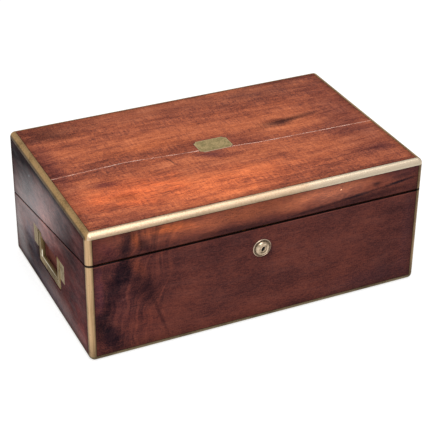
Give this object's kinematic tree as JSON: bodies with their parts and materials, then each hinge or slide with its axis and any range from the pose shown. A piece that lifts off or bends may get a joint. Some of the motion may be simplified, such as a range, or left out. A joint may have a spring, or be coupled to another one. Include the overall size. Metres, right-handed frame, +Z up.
{
  "type": "writing box",
  "caption": "Mahogany writing box bound in brass, with a slanting hinged lid, flush side handles, a lock, a pen section and two leathered flaps.",
  "frame": {"origin": "middle of the underside, on the surface the box stands on", "axes": "+X to the right seen from the lock side, +Y to the hinges, +Z up"},
  "size_m": [0.46, 0.2981, 0.182],
  "materials": {
    "top_mahogany": "old french polish, orange-red, worn",
    "side_mahogany": "old french polish, dark red-brown",
    "inner_mahogany": "waxed",
    "edge_brass": "old brass, softly polished",
    "plate_brass": "tarnished olive brass",
    "lock_brass": "pale worn brass",
    "handle_brass": "tarnished brass with bright worn edges",
    "fitting_brass": "plain brass",
    "writing_leather": "dark green skiver with a tooled line border",
    "inkwell_glass": "clear pressed glass"
  },
  "bodies": {
    "base": {"base_back": "side_mahogany", "base_bottom": "side_mahogany", "base_corner_back_left": "edge_brass", "base_corner_back_right": "edge_brass", "base_corner_front_left": "edge_brass", "base_corner_front_right": "edge_brass", "base_flap_bearers": "inner_mahogany", "base_flap_rail": "inner_mahogany", "base_foot_bands": "edge_brass", "base_front": "side_mahogany", "base_hinge_leaves": "fitting_brass", "base_hinge_screws": "fitting_brass", "base_left": "side_mahogany", "base_rail_leaves": "fitting_brass", "base_right": "side_mahogany", "escutcheon": "lock_brass", "handle_ears_left": "handle_brass", "handle_ears_right": "handle_brass", "handle_pins": "fitting_brass", "handle_screws": "fitting_brass", "hinge_pins": "fitting_brass", "ink_dividers": "inner_mahogany", "inkwell_caps": "fitting_brass", "inkwells": "inkwell_glass", "lock_case": "fitting_brass", "lock_screws": "fitting_brass", "pen_partition": "inner_mahogany", "pen_shelf": "inner_mahogany", "pen_tray": "inner_mahogany"},
    "lid": {"lid_back": "side_mahogany", "lid_band_back": "edge_brass", "lid_band_front": "edge_brass", "lid_band_left": "edge_brass", "lid_band_right": "edge_brass", "lid_corner_back_left": "edge_brass", "lid_corner_back_right": "edge_brass", "lid_corner_front_left": "edge_brass", "lid_corner_front_right": "edge_brass", "lid_flap_bearers": "inner_mahogany", "lid_flap_rail": "inner_mahogany", "lid_front": "side_mahogany", "lid_hinge_leaves": "fitting_brass", "lid_hinge_screws": "fitting_brass", "lid_left": "side_mahogany", "lid_rail_leaves": "fitting_brass", "lid_right": "side_mahogany", "lid_top": "top_mahogany", "link_plate": "fitting_brass", "link_screws": "fitting_brass", "name_plate": "plate_brass"},
    "left_bail": {"handle_left": "handle_brass"},
    "right_bail": {"handle_right": "handle_brass"},
    "key_plug": {"lock_plug": "lock_brass"},
    "lock_slide": {"lock_bolt": "fitting_brass"},
    "upper_flap": {"base_flap": "inner_mahogany", "base_flap_leather": "writing_leather", "base_flap_leaves": "fitting_brass"},
    "lower_flap": {"lid_flap": "inner_mahogany", "lid_flap_leather": "writing_leather", "lid_flap_leaves": "fitting_brass"}
  },
  "joints": [
    {"name": "lid_hinge", "type": "hinge", "parent": "base", "child": "lid", "pos_m": [0, 0.146, 0.091], "axis": [-1, 0, 0], "range_deg": [0, 180]},
    {"name": "upper_flap_hinge", "type": "hinge", "parent": "base", "child": "upper_flap", "pos_m": [0, 0.11853, 0.09314], "axis": [-1, 0, 0], "range_deg": [0, 45]},
    {"name": "lower_flap_hinge", "type": "hinge", "parent": "lid", "child": "lower_flap", "pos_m": [0, 0.11927, 0.09768], "axis": [1, 0, 0], "range_deg": [0, 45]},
    {"name": "left_bail_hinge", "type": "hinge", "parent": "base", "child": "left_bail", "pos_m": [-0.22775, 0, 0.08625], "axis": [0, 1, 0], "range_deg": [0, 90]},
    {"name": "right_bail_hinge", "type": "hinge", "parent": "base", "child": "right_bail", "pos_m": [0.22775, 0, 0.08625], "axis": [0, -1, 0], "range_deg": [0, 90]},
    {"name": "key_turn", "type": "hinge", "parent": "base", "child": "key_plug", "pos_m": [0, -0.1455, 0.1074], "axis": [0, -1, 0], "range_deg": [0, 90]},
    {"name": "bolt_slide", "type": "slide", "parent": "base", "child": "lock_slide", "axis": [-1, 0, 0], "range_m": [0, 0.00424]}
  ],
  "couplings": [
    {"joint": "upper_flap_hinge", "follows": "lid_hinge", "ratio": 0.25},
    {"joint": "lower_flap_hinge", "follows": "lid_hinge", "ratio": 0.25},
    {"joint": "bolt_slide", "follows": "key_turn", "m_per_rad": 0.002701}
  ]
}
